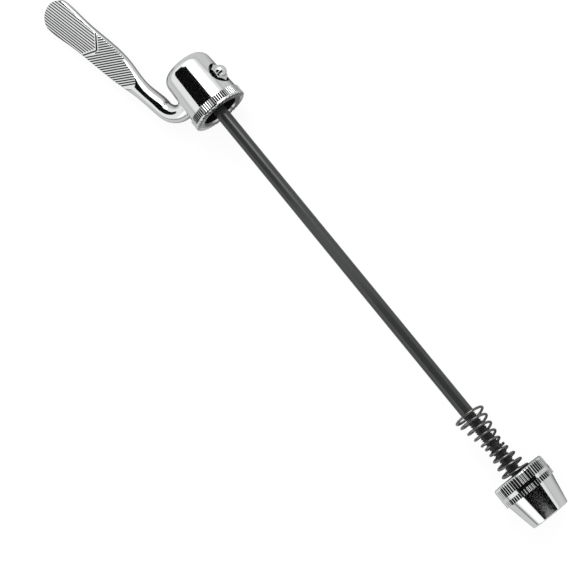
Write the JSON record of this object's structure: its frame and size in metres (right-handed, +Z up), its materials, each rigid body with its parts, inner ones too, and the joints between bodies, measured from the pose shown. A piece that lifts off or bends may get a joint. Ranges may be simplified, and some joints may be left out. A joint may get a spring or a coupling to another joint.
{
  "type": "quick release skewer",
  "caption": "Quick release wheel skewer: cam lever in a cupped head, slim threaded rod with conical springs and a knurled conical adjusting nut.",
  "frame": {"origin": "on the rod's axis, in the plane of the head's clamping face", "axes": "+X along the rod from the head to the adjusting nut, +Z up as the skewer lies on a table, +Y towards the acorn nut; the lever is on the -Y side"},
  "size_m": [0.2671, 0.0465, 0.0219],
  "materials": {
    "chrome_plate": "polished chrome on steel",
    "black_steel": "satin black oxide",
    "spring_wire": "oiled spring steel",
    "washer_steel": "plain steel",
    "nylon": "natural nylon"
  },
  "bodies": {
    "head": {"head_housing": "chrome_plate"},
    "lever": {"cam_lever": "chrome_plate", "acorn_nut": "chrome_plate", "lock_washer": "washer_steel"},
    "rod": {"skewer_rod": "black_steel"},
    "nut_spring": {"nut_side_spring": "spring_wire"},
    "nut": {"adjusting_nut": "chrome_plate", "nylon_lock_ring": "nylon"},
    "lever_spring": {"lever_side_spring": "spring_wire"}
  },
  "joints": [
    {"name": "lever_swing", "type": "hinge", "parent": "head", "child": "lever", "pos_m": [-0.0107, 0, 0], "axis": [0, 0.9625, 0.2714], "range_deg": [-90, 90]},
    {"name": "rod_draw", "type": "slide", "parent": "head", "child": "rod", "axis": [1, 0, 0], "range_m": [-0.00121, 0.00121]},
    {"name": "nut_travel", "type": "slide", "parent": "rod", "child": "nut_spring", "axis": [1, 0, 0], "range_m": [-0.0289, 0.0161]},
    {"name": "nut_spin", "type": "hinge", "parent": "nut_spring", "child": "nut", "pos_m": [0.1696, 0, 0], "axis": [1, 0, 0], "range_deg": [-12960, 7200]},
    {"name": "lever_spring_slide", "type": "slide", "parent": "nut_spring", "child": "lever_spring", "axis": [1, 0, 0], "range_m": [-0.11, 0]}
  ],
  "couplings": [
    {"joint": "rod_draw", "follows": "lever_swing", "m_per_rad": 0.00076394},
    {"joint": "nut_travel", "follows": "nut_spin", "m_per_rad": 0.00012732}
  ]
}
